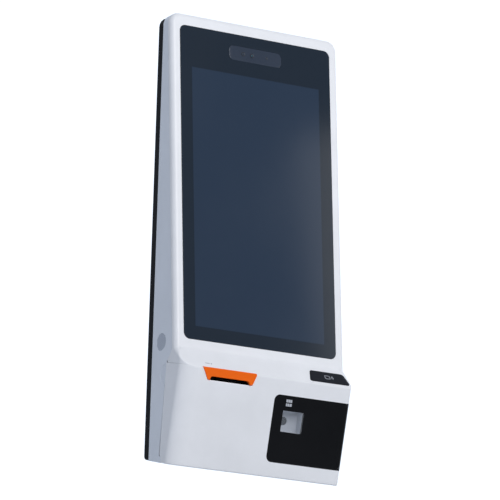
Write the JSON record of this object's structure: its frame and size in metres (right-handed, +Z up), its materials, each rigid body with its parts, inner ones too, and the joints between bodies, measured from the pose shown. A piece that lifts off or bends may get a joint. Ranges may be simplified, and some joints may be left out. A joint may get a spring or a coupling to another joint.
{
  "type": "self checkout kiosk",
  "caption": "Wall-mounted self-checkout kiosk: tall touch display over a shelf with contactless reader, and a hinged lower door with receipt outlet and barcode scanner window.",
  "frame": {"origin": "middle of the wall plate's back face, level with the middle of the display", "axes": "+Z up, +Y into the wall, -Y towards the customer, +X to the customer's right"},
  "size_m": [0.39, 0.1364, 0.909],
  "materials": {
    "housing_paint": "fine-textured pale grey paint",
    "front_plastic": "satin white moulding",
    "black_plastic": "black, lightly grained",
    "zinc_steel": "zinc-plated sheet",
    "display_glass": "toughened glass, dark when the display is off",
    "display_film": "dark display film",
    "lens_glass": "coated dark lens",
    "lamp_window": "smoked lamp window",
    "circuit_board": "green solder mask",
    "cast_aluminium": "bare",
    "grille_plastic": "pierced, pale grey",
    "black_panel": "satin black",
    "orange_plastic": "moulded orange",
    "grey_plastic": "moulded grey",
    "clear_window": "clear coated window",
    "recess_plastic": "pale grey, satin",
    "module_plastic": "black",
    "chrome_lock": "polished",
    "platen_rubber": "ground black rubber",
    "gear_plastic": "natural acetal",
    "brass_pinion": "machined",
    "blade_steel": "ground",
    "receipt_paper": "thermal paper",
    "core_card": "wound card"
  },
  "bodies": {
    "kiosk": {"housing_shell": "housing_paint", "bezel_frame": "front_plastic", "back_cover": "black_plastic", "wall_bracket": "zinc_steel", "hanger_rail": "zinc_steel", "cover_glass": "display_glass", "camera_window": "display_glass", "camera_lens": "lens_glass", "light_sensor": "lens_glass", "status_lamp": "lamp_window", "camera_board": "circuit_board", "display_panel": "display_film", "display_frame": "zinc_steel", "main_board": "circuit_board", "heat_sink": "cast_aluminium", "power_supply": "zinc_steel", "speaker_grille_left": "grille_plastic", "speaker_left": "black_plastic", "speaker_grille_right": "grille_plastic", "speaker_right": "black_plastic", "nfc_pad": "black_panel", "nfc_antenna": "circuit_board", "hinge_pin_left": "zinc_steel", "hinge_pin_right": "zinc_steel", "lock_keeper": "zinc_steel", "paper_outlet": "orange_plastic", "printer_frame": "zinc_steel", "feed_motor": "zinc_steel", "print_head": "cast_aluminium", "roll_spindle": "black_plastic", "connector_panel": "grey_plastic", "power_inlet": "black_plastic", "switch_body": "black_plastic", "lan_jack": "zinc_steel", "usb_ports": "zinc_steel"},
    "door": {"front_door": "front_plastic", "scanner_panel": "black_panel", "scanner_window": "clear_window", "scanner_recess": "recess_plastic", "scan_engine": "module_plastic", "scan_lens": "lens_glass", "lock_barrel": "chrome_lock"},
    "lock": {"lock_plug": "chrome_lock", "lock_cam": "zinc_steel"},
    "rocker": {"power_rocker": "black_plastic"},
    "platen": {"platen_roller": "platen_rubber", "platen_gear": "gear_plastic"},
    "idler": {"idler_gear": "gear_plastic"},
    "pinion": {"motor_pinion": "brass_pinion"},
    "blade": {"cutter_blade": "blade_steel"},
    "roll": {"paper_roll": "receipt_paper", "roll_core": "core_card"}
  },
  "joints": [
    {"name": "door_hinge", "type": "hinge", "parent": "kiosk", "child": "door", "pos_m": [0, -0.05389, -0.52491], "axis": [1, 0, 0], "range_deg": [0, 70]},
    {"name": "lock_turn", "type": "hinge", "parent": "door", "child": "lock", "pos_m": [0, -0.09801, -0.3582], "axis": [1, 0, 0], "range_deg": [0, 90]},
    {"name": "rocker_tilt", "type": "hinge", "parent": "kiosk", "child": "rocker", "pos_m": [0.074, -0.03381, -0.50586], "axis": [0, 0.9767, 0.2147], "range_deg": [0, 8]},
    {"name": "platen_spin", "type": "hinge", "parent": "kiosk", "child": "platen", "pos_m": [0, -0.10086, -0.36855], "axis": [1, 0, 0], "continuous": true},
    {"name": "idler_spin", "type": "hinge", "parent": "kiosk", "child": "idler", "pos_m": [0, -0.08401, -0.3708], "axis": [1, 0, 0], "continuous": true},
    {"name": "pinion_spin", "type": "hinge", "parent": "kiosk", "child": "pinion", "pos_m": [0, -0.0741, -0.37843], "axis": [1, 0, 0], "continuous": true},
    {"name": "cutter_slide", "type": "slide", "parent": "kiosk", "child": "blade", "axis": [0, 0.2147, -0.9767], "range_m": [0, 0.007]},
    {"name": "roll_spin", "type": "hinge", "parent": "kiosk", "child": "roll", "pos_m": [0, -0.062, -0.44796], "axis": [1, 0, 0], "continuous": true}
  ],
  "couplings": [
    {"joint": "idler_spin", "follows": "platen_spin", "ratio": -1.125},
    {"joint": "pinion_spin", "follows": "platen_spin", "ratio": 2}
  ]
}
